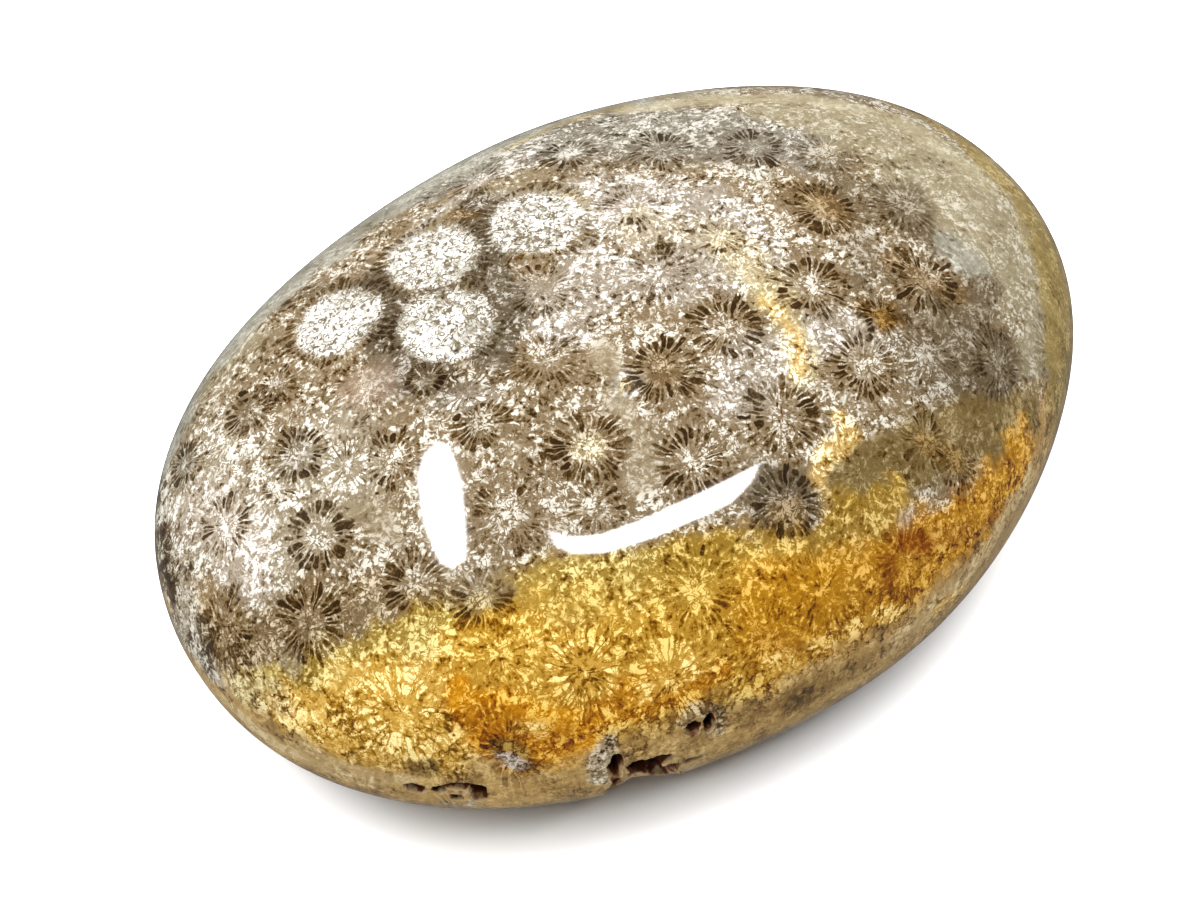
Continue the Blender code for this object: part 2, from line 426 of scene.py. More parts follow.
# Where the stains lie: each with its strength, and with x, y and radius in the frame's pixels for
# points along its middle. Later stains lie over earlier ones.
STAIN_PATHS = (
    ("cream", 0.9, ((180, 490, 50), (225, 520, 60), (265, 555, 50), (330, 470, 60), (350, 430, 34))),
    ("cream", 0.7, ((215, 430, 24), (240, 450, 28))),
    ("loam", 0.9, ((195, 635, 34), (240, 655, 40), (310, 630, 40), (400, 605, 30), (480, 600, 24))),
    ("chalk", 0.9, ((520, 215, 34), (600, 200, 40), (700, 215, 45), (740, 262, 42))),
    ("chalk", 0.7, ((515, 300, 24), (560, 320, 34), (600, 270, 40), (680, 285, 30))),
    ("chalk", 0.6, ((735, 390, 34), (770, 355, 30), (830, 330, 30), (880, 340, 18))),
    ("chalk", 0.6, ((466, 392, 26), (440, 400, 14))),
    ("taupe", 1.0, ((372, 285, 26), (392, 325, 28), (402, 372, 30), (432, 382, 28))),
    ("taupe", 1.0, ((480, 205, 24), (490, 250, 26), (500, 300, 24), (494, 350, 24), (440, 290, 22))),
    ("rose", 0.5, ((371, 383, 30),)),
    ("ash", 0.95, ((410, 200, 26), (470, 168, 36), (560, 140, 50), (690, 130, 56), (780, 142, 48))),
    ("slate", 0.35, ((560, 165, 20), (660, 155, 30), (750, 150, 26))),
    # mist along the upper left rim: grey, low-contrast colour, partly the agate's own grey and partly a
    # painted sheen of the white room at the grazing edge
    ("mist", 0.95, (
        (168, 455, 24), (200, 385, 28), (257, 315, 30), (325, 255, 32), (395, 205, 32),
        (478, 156, 28), (560, 120, 26), (640, 102, 20),
    )),
    ("khaki", 0.95, ((770, 112, 22), (840, 125, 40), (900, 155, 50), (960, 205, 46), (1005, 260, 36))),
    ("khaki", 0.95, (
        (900, 120, 24), (940, 145, 34), (985, 185, 40), (1018, 240, 42), (1032, 300, 42),
        (1038, 355, 34),
    )),
    ("buff", 0.9, (
        (620, 112, 12), (700, 100, 14), (780, 98, 16), (860, 108, 16), (930, 140, 16),
        (985, 185, 16),
    )),
    ("slate", 0.8, ((905, 205, 34), (930, 235, 24))),
    ("slate", 0.6, ((820, 160, 30), (860, 230, 24), (870, 270, 24))),
    ("taupe", 0.5, ((905, 330, 30), (930, 365, 34), (950, 395, 24))),
    ("bone", 0.6, ((985, 330, 10), (1000, 350, 10))),
    ("slate", 0.85, ((985, 285, 24), (960, 330, 46), (985, 370, 52), (1000, 410, 30))),
    ("mist", 0.95, ((948, 240, 16), (962, 256, 22), (975, 262, 14))),
    ("drab", 0.9, (
        (880, 100, 9), (920, 116, 12), (955, 134, 18), (1000, 172, 26), (1036, 222, 32),
        (1058, 280, 36), (1064, 345, 36), (1058, 402, 30),
    )),
    ("moss", 0.9, ((835, 490, 24), (860, 475, 36), (930, 445, 40), (985, 430, 34), (1030, 410, 20))),
    ("straw", 0.9, (
        (246, 694, 20), (290, 684, 22), (420, 638, 32), (500, 608, 34), (580, 580, 32),
        (660, 570, 30), (720, 560, 30),
    )),
    ("olive", 0.9, ((700, 565, 34), (760, 560, 40), (830, 530, 40), (890, 510, 26))),
    ("maize", 1.0, ((284, 712, 24), (312, 717, 36), (360, 724, 56), (430, 722, 66), (500, 684, 54))),
    ("honey", 0.5, ((238, 690, 18), (282, 700, 22))),
    ("gold", 1.0, ((500, 674, 60), (590, 674, 78), (690, 652, 74), (780, 622, 68))),
    ("olive", 0.35, ((560, 602, 22), (640, 586, 26), (720, 578, 22))),
    ("ochre", 0.95, ((785, 622, 60), (850, 600, 52), (912, 568, 46), (972, 520, 40), (1018, 462, 32))),
    ("amber", 0.95, ((465, 706, 24), (510, 730, 46), (570, 738, 36))),
    ("amber", 0.7, ((600, 710, 20), (650, 695, 28), (710, 680, 24))),
    ("lemon", 0.8, ((390, 690, 30), (410, 712, 30))),
    ("lemon", 0.8, ((570, 660, 26), (600, 680, 22))),
    ("lemon", 0.8, ((650, 690, 14), (700, 665, 16))),
    ("lemon", 0.5, ((770, 665, 12), (800, 655, 12), (850, 630, 12), (885, 615, 10))),
    ("honey", 0.3, ((640, 222, 20), (700, 228, 24))),
    ("honey", 0.65, ((728, 244, 22), (750, 266, 26), (775, 295, 18))),
    ("honey", 0.5, ((560, 205, 26), (540, 235, 20))),
    ("honey", 0.6, ((768, 300, 12), (785, 325, 14), (800, 350, 16), (806, 375, 16))),
    ("lemon", 0.4, ((764, 300, 6), (784, 322, 7), (798, 345, 8), (800, 372, 8))),
    ("honey", 0.5, ((838, 415, 9), (848, 435, 12), (825, 460, 13), (815, 480, 11), (822, 505, 10))),
    ("lemon", 0.4, ((838, 415, 8), (848, 435, 11), (825, 460, 12), (815, 480, 10), (822, 505, 9))),
    ("loam", 0.7, ((438, 592, 16), (474, 598, 18), (496, 592, 12))),
    ("rust", 0.5, ((900, 530, 20), (925, 545, 20), (960, 530, 16))),
    ("ember", 0.85, ((903, 540, 10), (918, 543, 10), (932, 548, 9))),
    ("ember", 0.7, ((890, 562, 11), (891, 582, 10))),
    ("ember", 0.4, ((470, 715, 14), (500, 722, 18), (560, 735, 16))),
    ("ember", 0.3, ((760, 640, 10), (800, 645, 10))),
    ("clear", 0.6, ((640, 435, 20), (640, 480, 18))),
    ("clear", 0.8, ((602, 345, 14), (620, 410, 14))),
    ("clear", 0.8, ((360, 510, 18), (380, 530, 18))),
    ("clear", 0.35, ((450, 578, 14), (500, 581, 14))),
    ("clear", 0.6, ((290, 662, 14),)),
    ("cream", 0.9, ((160, 520, 22), (163, 560, 30), (182, 598, 36), (186, 630, 34), (212, 672, 20))),
    ("druse", 0.5, ((190, 505, 26), (222, 526, 46), (250, 566, 34))),
    ("umber", 1.0, ((165, 530, 12), (167, 560, 16), (172, 592, 14))),
    ("umber", 0.5, ((250, 410, 20), (277, 386, 12))),
    ("taupe", 0.6, ((187, 462, 20),)),
    ("taupe", 0.5, ((297, 455, 22),)),
    ("umber", 0.6, ((426, 380, 16), (487, 380, 9))),
    ("umber", 0.5, ((480, 424, 18),)),
    ("taupe", 0.9, ((775, 500, 28), (800, 505, 26))),
    ("smoke", 0.6, ((785, 518, 22),)),
    ("slate", 0.7, ((765, 475, 16), (775, 490, 14))),
    ("smoke", 0.7, ((924, 440, 15), (956, 462, 14))),
    ("smoke", 1.0, ((866, 303, 13), (883, 315, 20), (896, 323, 11))),
    ("smoke", 0.6, ((455, 215, 9), (473, 217, 9))),
    ("smoke", 0.7, ((808, 200, 24), (836, 212, 24))),
    ("honey", 0.35, ((806, 200, 9),)),
    ("smoke", 0.6, ((894, 268, 18), (925, 280, 16), (952, 292, 20))),
    ("smoke", 0.6, ((665, 378, 18), (655, 355, 14))),
    ("smoke", 0.4, ((590, 425, 16), (610, 460, 14))),
    ("rose", 0.5, ((905, 517, 11),)),
    # dusk and smoke: darker browns along the lower right rim
    ("dusk", 0.65, ((700, 722, 18), (760, 712, 24), (815, 692, 27), (850, 674, 20))),
    ("smoke", 0.4, ((790, 704, 12), (828, 688, 15))),
    ("pearl", 0.8, ((890, 650, 14), (928, 616, 20), (966, 576, 20), (998, 532, 17), (1030, 472, 11))),
    ("lemon", 0.6, ((880, 618, 12), (900, 612, 10))),
    ("lemon", 0.5, ((940, 606, 12), (958, 592, 10))),
    ("drab", 0.7, ((505, 150, 5), (560, 124, 6), (625, 106, 8))),
    ("chalk", 0.9, ((388, 252, 6), (420, 226, 6), (470, 190, 6), (530, 152, 6))),
    ("honey", 0.8, ((625, 385, 9),)),
    ("chalk", 1.0, (
        (613, 380, 4), (613, 391, 4), (625, 396, 4), (637, 391, 4), (638, 380, 4), (626, 375, 4),
        (613, 380, 4),
    )),
    ("honey", 0.5, ((588, 449, 14),)),
    ("lemon", 0.6, ((522, 728, 10), (540, 730, 8))),
    ("sand", 0.95, (
        (262, 742, 10), (310, 768, 12), (400, 792, 14), (500, 798, 20), (580, 782, 24),
        (650, 760, 22),
    )),
    # pearl along the lower left rim: pale tan, partly the agate's own colour and partly a painted sheen
    # where the white floor would show in the polish
    ("pearl", 0.75, ((300, 746, 10), (350, 768, 12), (405, 780, 10))),
    ("pearl", 0.9, ((224, 698, 10), (246, 720, 12), (272, 742, 13), (314, 764, 14), (380, 786, 12))),
    ("ochre", 0.4, ((540, 764, 12), (575, 762, 12))),
    ("smoke", 0.8, ((505, 748, 14), (528, 762, 12))),
    ("druse", 0.7, ((508, 756, 7), (522, 764, 8))),
    ("quartz", 1.0, ((612, 744, 12), (597, 760, 13), (603, 778, 12))),
    ("quartz", 0.5, ((684, 722, 8), (694, 708, 9), (714, 714, 9), (718, 732, 8))),
    ("quartz", 0.8, ((455, 786, 6), (478, 794, 7), (470, 806, 6), (445, 802, 6))),
    ("quartz", 0.4, ((655, 774, 8), (690, 768, 8))),
    ("smoke", 0.8, ((418, 772, 10), (430, 764, 8))),
)
STAIN_EDGE = 0.7  # share of a stain's radius over which it fades
WANDER_MM = 2.6  # how far a broad stain's edge may stray
WANDER_LUMPS = ((3.0, 0.5), (1.1, 0.3), (0.5, 0.2))  # size in mm, share of the straying
WANDER_SEED = 4
BROAD_MM = 2.4  # radius from which a stain counts as broad; a smaller one strays less in proportion
PAINTED_DIMMING = 0.41  # every stain colour is darkened by this share, a painted shade over the whole stone that offsets the bright ceiling lamp, so the paper goes white while the stone keeps its tones
LAYERS = ("dark", "middle", "light", "coral")


def linear(code):
    """An sRGB hex colour as linear red, green, blue and 1."""
    parts = [int(code[i : i + 2], 16) / 255 for i in (1, 3, 5)]
    return [c / 12.92 if c <= 0.04045 else ((c + 0.055) / 1.055) ** 2.4 for c in parts] + [1.0]


noise.seed_set(WANDER_SEED)
vertex_places = positions(hollowed) / MM
count = len(vertex_places)
wander = np.zeros((count, 3))
for lump_mm, share in WANDER_LUMPS:
    wander += share * np.array([noise.noise_vector(Vector(p) / lump_mm) for p in vertex_places])
wandered = vertex_places + wander * WANDER_MM


def stain_values(stain):
    """A stain's three colours, as linear red, green and blue darkened by the painted shade, and how
    strongly the coral shows.
    """
    colours = [[part * (1 - PAINTED_DIMMING) for part in linear(code)[:3]] for code in stain[:3]]
    return colours + [[stain[3]] * 3]


layers = {name: np.tile(value, (count, 1)) for name, value in zip(LAYERS, stain_values(STAINS["bone"]))}


def lay_stain(name, weight):
    """Blends a stain over what is already there."""
    for layer, value in zip(layers.values(), stain_values(STAINS[name])):
        layer += (np.array(value) - layer) * weight[:, None]


def smooth(value):
    """Eases a share in and out as it goes from 0 to 1."""
    value = np.clip(value, 0, 1)
    return value * value * (3 - 2 * value)


def slow_noise(fineness, corner):
    """A slow change over the stone, with about this many lumps to the millimetre."""
    return np.array([noise.noise(Vector(p) * fineness + Vector(corner)) for p in vertex_places])


# On the far side and below, where few paths are laid, the stains follow the height and slow drifts.
# The places here are in mm, and the far side is where y is above 0.
drift = slow_noise(0.07, (3, 8, 1))
shade = slow_noise(0.11, (9, 2, 5))
back, height = wandered[:, 1], wandered[:, 2]
below_edge = 20 - height + np.minimum(-back / 2, 0)  # the tan rim's edge, lower on the far side
lay_stain("khaki", smooth((back - 10) / 8) * smooth(0.5 + drift * 4) * 0.9)
lay_stain("slate", smooth((back - 6) / 8) * smooth(shade * 5 - 0.2) * 0.6)
lay_stain("gold", smooth((15 - height) / 5) * smooth(shade * 5 - 0.1) * 0.8)
lay_stain("sand", smooth(below_edge / 4) * 0.95)
# dusk: darker brown low on the sides, in slow patches
lay_stain("dusk", smooth((12 - height) / 5) * smooth(drift * 6) * 0.7)

for name, strength, path in STAIN_PATHS:
    spots = []
    for x, y, radius in path:
        point = seen_at((x, y))
        spots.append((np.array(point) / MM, radius * (eye - point).length / FOCAL_PIXELS / MM))
    stray = min(1, max(radius for _, radius in spots) / BROAD_MM)
    strayed = vertex_places + wander * WANDER_MM * stray
    closest = np.full(count, np.inf)
    for (start, start_radius), (end, end_radius) in zip(spots, spots[1:] or spots):
        run = end - start
        share = np.clip((strayed - start) @ run / max(run @ run, 1e-9), 0, 1)
        off = np.linalg.norm(strayed - (start + share[:, None] * run), axis=1)
        closest = np.minimum(closest, off / (start_radius + (end_radius - start_radius) * share))
    lay_stain(name, strength * smooth((1 + STAIN_EDGE / 2 - closest) / STAIN_EDGE))

for name, values in layers.items():
    layer = hollowed.attributes.new(name, "FLOAT_COLOR", "POINT")
    layer.data.foreach_set("color", np.column_stack((values, np.ones(count))).ravel())

# how deep below the ground surface each point lies, in mm, for the crust and the painted shade in the
# hollows
sunk = [ground_tree.find_nearest(Vector(p) * MM)[3] / MM for p in vertex_places]
hollowed.attributes.new("sunk", "FLOAT", "POINT").data.foreach_set("value", sunk)


# The polish. Agatised coral is chalcedony: glassy, of quartz's index, ground and buffed so that
# lamps show in it with sharp edges. The eye sees petals, septa, threads and grains of quartz, which
# one number, the level, weighs against each other from dark to light.
QUARTZ_IOR = 1.54


def add(tree, kind, inputs=(), **settings):
    """Adds one node with its settings, and links or sets its inputs.

    Inputs 1 to 4 of a MapRange are the two ranges. A Mix blends 2 and 3 if they are numbers, and 6
    and 7 if they are colours.
    """
    made = tree.nodes.new("ShaderNode" + kind)
    for name, value in settings.items():
        setattr(made, name, value)
    for socket, value in dict(inputs).items():
        if isinstance(value, bpy.types.NodeSocket):
            tree.links.new(value, made.inputs[socket])
        else:
            made.inputs[socket].default_value = value
    return made.outputs


SEPTA_SWAY = 3.6  # how many septa's width a spoke may bend aside
PETAL_HALF_WIDTH = 0.36  # share of the way from one septum to the next


def flower(tree, which, plan, place_mm):
    """The nearest or next corallite's pattern: how far out this is, its petals and its rays."""
    place = add(tree, "Attribute", attribute_name=which + "_place")["Vector"]
    kind = add(tree, "SeparateXYZ", {0: add(tree, "Attribute", attribute_name=which + "_kind")["Vector"]})
    seed = add(tree, "Attribute", attribute_name=which + "_seed")["Fac"]
    radius = add(tree, "SeparateXYZ", {0: place})["Z"]
    tone, milk, septa_count = kind["X"], kind["Y"], kind["Z"]
    middle = add(tree, "VectorMath", {0: place, 1: (1, 1, 0)}, operation="MULTIPLY")["Vector"]
    arm = add(tree, "VectorMath", {0: plan, 1: middle}, operation="SUBTRACT")["Vector"]
    arm_parts = add(tree, "SeparateXYZ", {0: arm})
    distance = add(tree, "VectorMath", {0: arm}, operation="LENGTH")["Value"]
    spoke = add(tree, "VectorMath", {0: arm}, operation="NORMALIZE")["Vector"]
    share = add(tree, "Math", {0: distance, 1: radius}, operation="DIVIDE")[0]
    beyond = add(tree, "Math", {0: distance, 1: radius}, operation="SUBTRACT")[0]
    own_level = add(tree, "Math", {0: seed, 1: 7.3}, operation="MULTIPLY")[0]  # parts the noises

    # petals: the gaps between septa, counted round the circle
    angle = add(tree, "Math", {0: arm_parts["Y"], 1: arm_parts["X"]}, operation="ARCTAN2")[0]
    turn = add(tree, "Math", {0: angle, 1: 2 * math.pi}, operation="DIVIDE")[0]
    turn = add(tree, "Math", {0: turn, 1: 3.0}, operation="ADD")[0]
    counted = add(tree, "Math", {0: turn, 1: septa_count}, operation="MULTIPLY")[0]
    rim = add(tree, "VectorMath", {0: spoke, "Scale": 1.6}, operation="SCALE")["Vector"]
    lifted = add(tree, "CombineXYZ", {2: own_level})[0]
    rim = add(tree, "VectorMath", {0: rim, 1: lifted}, operation="ADD")["Vector"]
    sway = add(tree, "TexNoise", {"Vector": rim, "Scale": 1.0, "Detail": 2.0})["Fac"]
    counted = add(tree, "Math", {0: sway, 1: SEPTA_SWAY, 2: counted}, operation="MULTIPLY_ADD")[0]
    index = add(tree, "Math", {0: counted}, operation="FLOOR")[0]
    index = add(tree, "Math", {0: index, 1: septa_count}, operation="FLOORED_MODULO")[0]
    within = add(tree, "Math", {0: counted}, operation="FRACT")[0]
    off_middle = add(tree, "Math", {0: within, 1: 0.5}, operation="SUBTRACT")[0]
    off_middle = add(tree, "Math", {0: off_middle}, operation="ABSOLUTE")[0]
    dice = add(tree, "TexWhiteNoise", {"Vector": add(tree, "CombineXYZ", {0: index, 1: seed})[0]})["Color"]
    dice = add(tree, "SeparateColor", {0: dice})
    inner = add(tree, "MapRange", {0: dice[0], 3: 0.30, 4: 0.48})[0]
    inner = add(tree, "Math", {0: milk, 1: 0.60, 2: inner}, operation="MULTIPLY_ADD")[0]
    inner_end = add(tree, "Math", {0: inner, 1: 0.14}, operation="ADD")[0]
    outer = add(tree, "MapRange", {0: dice[1], 3: 0.84, 4: 1.14})[0]
    outer = add(tree, "Math", {0: milk, 1: 0.46, 2: outer}, operation="MULTIPLY_ADD")[0]
    outer_start = add(tree, "Math", {0: outer, 1: 0.14}, operation="SUBTRACT")[0]
    depth = add(tree, "MapRange", {0: dice[2], 3: 0.45, 4: 1.0})[0]
    depth = add(tree, "Mix", {0: milk, 2: depth, 3: 0.95})[0]
    opening = add(tree, "MapRange", {0: share, 1: inner, 2: inner_end}, interpolation_type="SMOOTHSTEP")[0]
    closing = {0: share, 1: outer_start, 2: outer, 3: PETAL_HALF_WIDTH, 4: 0.0}
    closing = add(tree, "MapRange", closing, interpolation_type="SMOOTHSTEP")[0]
    width = add(tree, "Math", {0: opening, 1: closing}, operation="MULTIPLY")[0]
    clear_of = add(tree, "Math", {0: width, 1: off_middle}, operation="SUBTRACT")[0]
    petal = add(tree, "MapRange", {0: clear_of, 1: -0.05, 2: 0.08}, interpolation_type="SMOOTHSTEP")[0]
    petal = add(tree, "Math", {0: petal, 1: depth}, operation="MULTIPLY")[0]
    outwards = add(tree, "Math", {0: distance, 1: 1.7}, operation="MULTIPLY")[0]
    sideways = add(tree, "Math", {0: index, 1: 3.7, 2: own_level}, operation="MULTIPLY_ADD")[0]
    gap = add(tree, "CombineXYZ", {0: sideways, 1: outwards})[0]
    gap = add(tree, "TexNoise", {"Vector": gap, "Scale": 1.0, "Detail": 0.0})["Fac"]
    gap = add(tree, "MapRange", {0: gap, 1: 0.32, 2: 0.44}, interpolation_type="SMOOTHSTEP")[0]
    gap = add(tree, "Math", {0: gap, 1: milk}, operation="MAXIMUM")[0]
    petal = add(tree, "Math", {0: petal, 1: gap}, operation="MULTIPLY")[0]
    side = add(tree, "VectorMath", {0: arm, "Scale": 0.45}, operation="SCALE")["Vector"]
    side = add(tree, "VectorMath", {0: side, 1: lifted}, operation="ADD")["Vector"]
    side = add(tree, "TexNoise", {"Vector": side, "Scale": 1.0, "Detail": 1.0})["Fac"]
    side = add(tree, "MapRange", {0: side, 1: 0.36, 2: 0.60, 3: 0.75, 4: 1.15})[0]
    side = add(tree, "Mix", {0: milk, 2: side, 3: 1.0})[0]

    # rays: irregular strokes that run outwards, of about the same width wherever they are
    height = add(tree, "SeparateXYZ", {0: place_mm})["Z"]
    along = add(tree, "Math", {0: distance, 1: 1.3, 2: own_level}, operation="MULTIPLY_ADD")[0]
    along = add(tree, "Math", {0: height, 1: 0.5, 2: along}, operation="MULTIPLY_ADD")[0]
    along = add(tree, "CombineXYZ", {2: along})[0]
    bands = []
    for fineness in (5.5, 11.0):
        ring = add(tree, "VectorMath", {0: spoke, "Scale": fineness}, operation="SCALE")["Vector"]
        ring = add(tree, "VectorMath", {0: ring, 1: along}, operation="ADD")["Vector"]
        bands.append(add(tree, "TexNoise", {"Vector": ring, "Scale": 1.0, "Detail": 1.0})["Fac"])
    far = add(tree, "MapRange", {0: distance, 1: 1.4, 2: 2.4}, interpolation_type="SMOOTHSTEP")[0]
    rays = add(tree, "Mix", {0: far, 2: bands[0], 3: bands[1]})[0]
    return {
        "share": share,
        "beyond": beyond,
        "tone": tone,
        "milk": milk,
        "petal": petal,
        "rays": rays,
        "side": side,
    }


polished.use_nodes = True
tree = polished.node_tree
tree.nodes.clear()
coords = add(tree, "TexCoord")["Object"]
place_mm = add(tree, "VectorMath", {0: coords, "Scale": 1 / MM}, operation="SCALE")["Vector"]
wobbles = []
for scale, amount in ((0.9, 0.50), (3.5, 0.16)):
    wobble = add(tree, "TexNoise", {"Vector": place_mm, "Scale": scale, "Detail": 1.0})["Color"]
    wobble = add(tree, "VectorMath", {0: wobble, 1: (0.5, 0.5, 0.5)}, operation="SUBTRACT")["Vector"]
    wobble = add(tree, "VectorMath", {0: wobble, 1: (amount, amount, 0)}, operation="MULTIPLY")["Vector"]
    wobbles.append(wobble)
height_mm = add(tree, "SeparateXYZ", {0: place_mm})["Z"]
lift = add(tree, "Math", {0: height_mm, 1: FAN_DEPTH / MM}, operation="ADD")[0]
spread = add(tree, "Math", {0: (FAN_DEPTH + THICKNESS) / MM, 1: lift}, operation="DIVIDE")[0]
flat = add(tree, "VectorMath", {0: place_mm, 1: (1, 1, 0)}, operation="MULTIPLY")["Vector"]
plan = add(tree, "VectorMath", {0: flat, "Scale": spread}, operation="SCALE")["Vector"]
for wobble in wobbles:
    plan = add(tree, "VectorMath", {0: plan, 1: wobble}, operation="ADD")["Vector"]

near = flower(tree, "near", plan, place_mm)
beside = flower(tree, "next", plan, place_mm)
lead = add(tree, "Math", {0: beside["beyond"], 1: near["beyond"]}, operation="SUBTRACT")[0]
own = add(tree, "MapRange", {0: lead, 1: -0.35, 2: 0.35}, interpolation_type="SMOOTHSTEP")[0]
here = {fact: add(tree, "Mix", {0: own, 2: beside[fact], 3: near[fact]})[0] for fact in near}

# grains: cells of quartz, each of its own brightness, and fine threads that curl between them;
# the crowd makes them bold in some places and faint in others, and the haze drifts slowly
jitter = add(tree, "TexNoise", {"Vector": place_mm, "Scale": 2.4, "Detail": 1.0})["Color"]
jitter = add(tree, "VectorMath", {0: jitter, 1: (0.5, 0.5, 0.5)}, operation="SUBTRACT")["Vector"]
jitter = add(tree, "VectorMath", {0: jitter, "Scale": 0.9}, operation="SCALE")["Vector"]
shaken = add(tree, "VectorMath", {0: place_mm, 1: jitter}, operation="ADD")["Vector"]
cell = add(tree, "TexVoronoi", {"Vector": shaken, "Scale": 2.2, "Randomness": 1.0})["Color"]
cell = add(tree, "SeparateColor", {0: cell})[0]
grain = add(tree, "TexNoise", {"Vector": place_mm, "Scale": 2.4, "Detail": 1.0, "Distortion": 0.5})["Fac"]
fibre = add(tree, "TexNoise", {"Vector": place_mm, "Scale": 6.5, "Detail": 0.0})["Fac"]
haze = add(tree, "TexNoise", {"Vector": place_mm, "Scale": 0.35, "Detail": 2.0})["Fac"]
crowd = add(tree, "TexNoise", {"Vector": place_mm, "Scale": 0.55, "Detail": 1.0, "Distortion": 0.5})["Fac"]
crowd = {0: crowd, 1: 0.40, 2: 0.56, 3: 0.50, 4: 1.4}
crowd = add(tree, "MapRange", crowd, interpolation_type="SMOOTHSTEP")[0]
thread = add(tree, "TexNoise", {"Vector": place_mm, "Scale": 1.8, "Detail": 1.0, "Distortion": 1.2})["Fac"]
thread = add(tree, "Math", {0: thread, 1: 0.5}, operation="SUBTRACT")[0]
thread = add(tree, "Math", {0: thread}, operation="ABSOLUTE")[0]
thread = add(tree, "MapRange", {0: thread, 1: 0.075, 2: 0.015}, interpolation_type="SMOOTHSTEP")[0]

# flowers: dark petals between pale septa round a pale middle, or a milky disc in a dark ring
rough_share = add(tree, "Math", {0: grain, 1: 0.5}, operation="SUBTRACT")[0]
rough_share = add(tree, "Math", {0: rough_share, 1: 0.6, 2: here["share"]}, operation="MULTIPLY_ADD")[0]
frayed = add(tree, "Math", {0: here["rays"], 1: 0.5}, operation="SUBTRACT")[0]
rough_share = add(tree, "Math", {0: frayed, 1: 0.5, 2: rough_share}, operation="MULTIPLY_ADD")[0]
start = add(tree, "Math", {0: here["milk"], 1: -0.70, 2: rough_share}, operation="MULTIPLY_ADD")[0]
entered = add(tree, "MapRange", {0: start, 1: 0.20, 2: 0.40}, interpolation_type="SMOOTHSTEP")[0]
end = add(tree, "Math", {0: here["milk"], 1: -0.5, 2: rough_share}, operation="MULTIPLY_ADD")[0]
left_ring = {0: end, 1: 0.92, 2: 1.16, 3: 1.0, 4: 0.0}
left_ring = add(tree, "MapRange", left_ring, interpolation_type="SMOOTHSTEP")[0]
ring = add(tree, "Math", {0: entered, 1: left_ring}, operation="MULTIPLY")[0]
ring = add(tree, "Math", {0: ring, 1: here["tone"]}, operation="MULTIPLY")[0]
ring = add(tree, "Math", {0: ring, 1: here["side"]}, operation="MULTIPLY")[0]
strength = add(tree, "Math", {0: ring}, operation="ABSOLUTE")[0]
dark_ring = add(tree, "Math", {0: ring, 1: 0.0}, operation="MAXIMUM")[0]
pale_ring = add(tree, "Math", {0: strength, 1: dark_ring}, operation="SUBTRACT")[0]
slope = add(tree, "Math", {0: here["milk"], 1: 0.34, 2: -0.84}, operation="MULTIPLY_ADD")[0]
offset = add(tree, "Math", {0: here["milk"], 1: -0.10, 2: -0.02}, operation="MULTIPLY_ADD")[0]
shadow = add(tree, "Math", {0: here["petal"], 1: slope, 2: offset}, operation="MULTIPLY_ADD")[0]
shadow = add(tree, "Math", {0: shadow, 1: dark_ring}, operation="MULTIPLY")[0]
gleam = add(tree, "Math", {0: here["petal"], 1: 0.66, 2: -0.22}, operation="MULTIPLY_ADD")[0]
shadow = add(tree, "Math", {0: gleam, 1: pale_ring, 2: shadow}, operation="MULTIPLY_ADD")[0]
heart = add(tree, "MapRange", {0: rough_share, 1: 0.42, 2: 0.22}, interpolation_type="SMOOTHSTEP")[0]
heart = add(tree, "Math", {0: heart, 1: here["tone"]}, operation="MULTIPLY")[0]
disc = add(tree, "MapRange", {0: rough_share, 1: 1.06, 2: 0.94}, interpolation_type="SMOOTHSTEP")[0]
disc = add(tree, "Math", {0: disc, 1: here["milk"]}, operation="MULTIPLY")[0]

# the level: rays where a flower is, grains between flowers, then haze, discs and threads
coral = add(tree, "Attribute", attribute_name="coral")["Fac"]
ray_share = add(tree, "MapRange", {0: strength, 3: 1.3, 4: 1.2})[0]
grain_share = add(tree, "MapRange", {0: strength, 3: 1.6, 4: 0.6})[0]
cell_share = add(tree, "MapRange", {0: strength, 3: 0.45, 4: 0.2})[0]
level = 0.0
for value, share in ((here["rays"], ray_share), (grain, grain_share), (cell, cell_share), (fibre, 0.3)):
    swing = add(tree, "Math", {0: value, 1: 0.5}, operation="SUBTRACT")[0]
    level = add(tree, "Math", {0: swing, 1: share, 2: level}, operation="MULTIPLY_ADD")[0]
crowd = add(tree, "Mix", {0: strength, 2: crowd, 3: 1.0})[0]
level = add(tree, "Math", {0: level, 1: crowd}, operation="MULTIPLY")[0]
calm = add(tree, "Math", {0: disc, 1: -0.15, 2: 1.0}, operation="MULTIPLY_ADD")[0]
level = add(tree, "Math", {0: level, 1: calm}, operation="MULTIPLY")[0]
level = add(tree, "Math", {0: level, 1: shadow}, operation="ADD")[0]
level = add(tree, "Math", {0: heart, 1: 0.14, 2: level}, operation="MULTIPLY_ADD")[0]
level = add(tree, "Math", {0: level, 1: coral}, operation="MULTIPLY")[0]
swing = add(tree, "Math", {0: haze, 1: 0.5}, operation="SUBTRACT")[0]
level = add(tree, "Math", {0: swing, 1: 1.1, 2: level}, operation="MULTIPLY_ADD")[0]
level = add(tree, "Math", {0: disc, 1: 0.10, 2: level}, operation="MULTIPLY_ADD")[0]
level = add(tree, "Math", {0: level, 1: 0.55}, operation="ADD")[0]
line = add(tree, "MapRange", {0: level, 1: 0.15, 2: 0.75, 3: 0.22, 4: -0.55})[0]
line = add(tree, "Math", {0: line, 1: coral}, operation="MULTIPLY")[0]
line = add(tree, "Math", {0: disc, 1: -0.25, 2: line}, operation="MULTIPLY_ADD")[0]
level = add(tree, "Math", {0: thread, 1: line, 2: level}, operation="MULTIPLY_ADD")[0]

